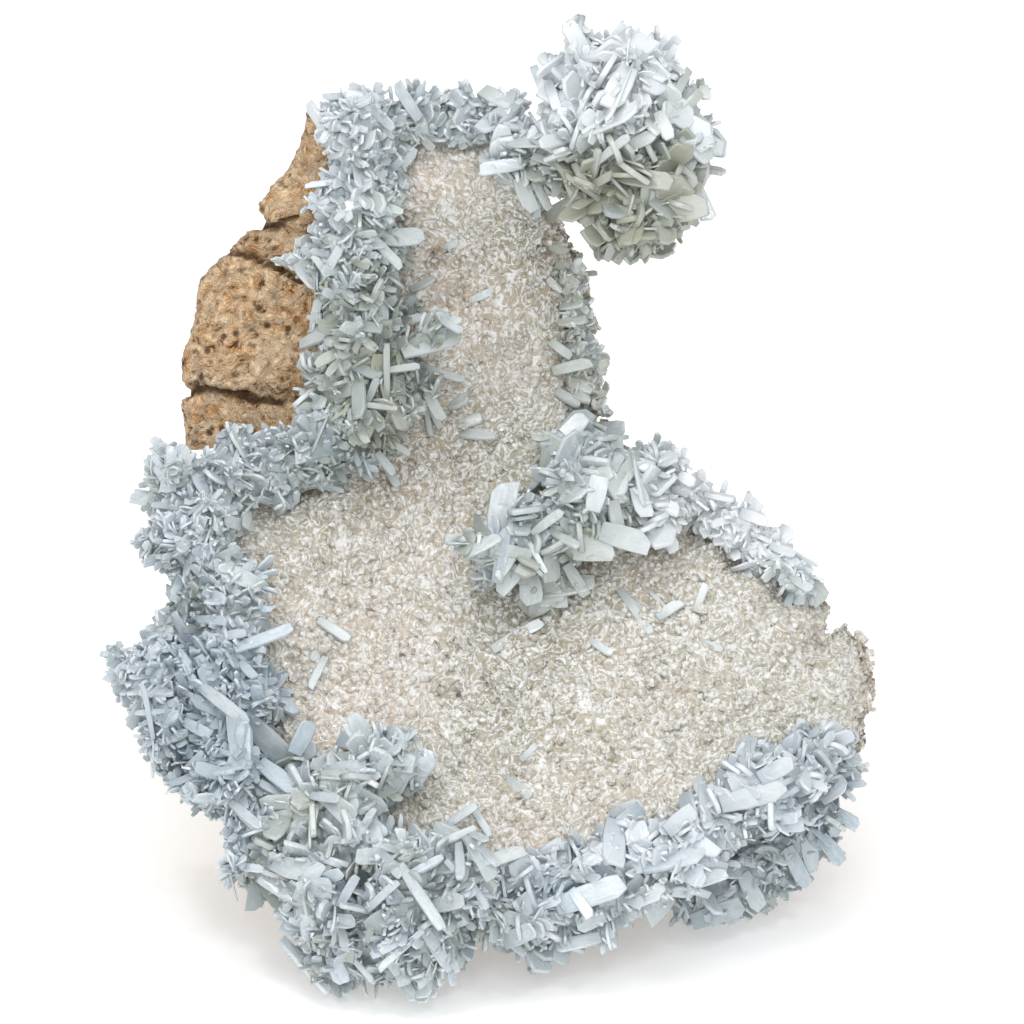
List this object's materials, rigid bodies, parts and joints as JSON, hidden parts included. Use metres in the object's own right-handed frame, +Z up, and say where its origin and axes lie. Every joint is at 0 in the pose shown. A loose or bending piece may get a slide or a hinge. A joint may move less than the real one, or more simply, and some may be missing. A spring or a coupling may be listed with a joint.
{
  "type": "barite crystal cluster",
  "caption": "Mineral specimen that stands on its flat foot: pale blue barite blades round a hollow of small calcite crystals, on brown limestone.",
  "frame": {"origin": "middle of the flat foot, on the surface the specimen stands on", "axes": "+Z up, +X to the viewer's right, -Y towards the viewer, out of the hollow"},
  "size_m": [0.1556, 0.139, 0.1775],
  "materials": {
    "limestone": "matt, porous, broken",
    "calcite": "glassy, small sparkling crystals",
    "barite": "glossy, milky and translucent"
  },
  "bodies": {
    "root": {"limestone_matrix": "limestone", "calcite_druse": "calcite", "barite_rim": "barite", "barite_knob": "barite", "barite_rosette": "barite", "barite_underside": "barite", "barite_neck_fringe": "barite"}
  },
  "joints": []
}
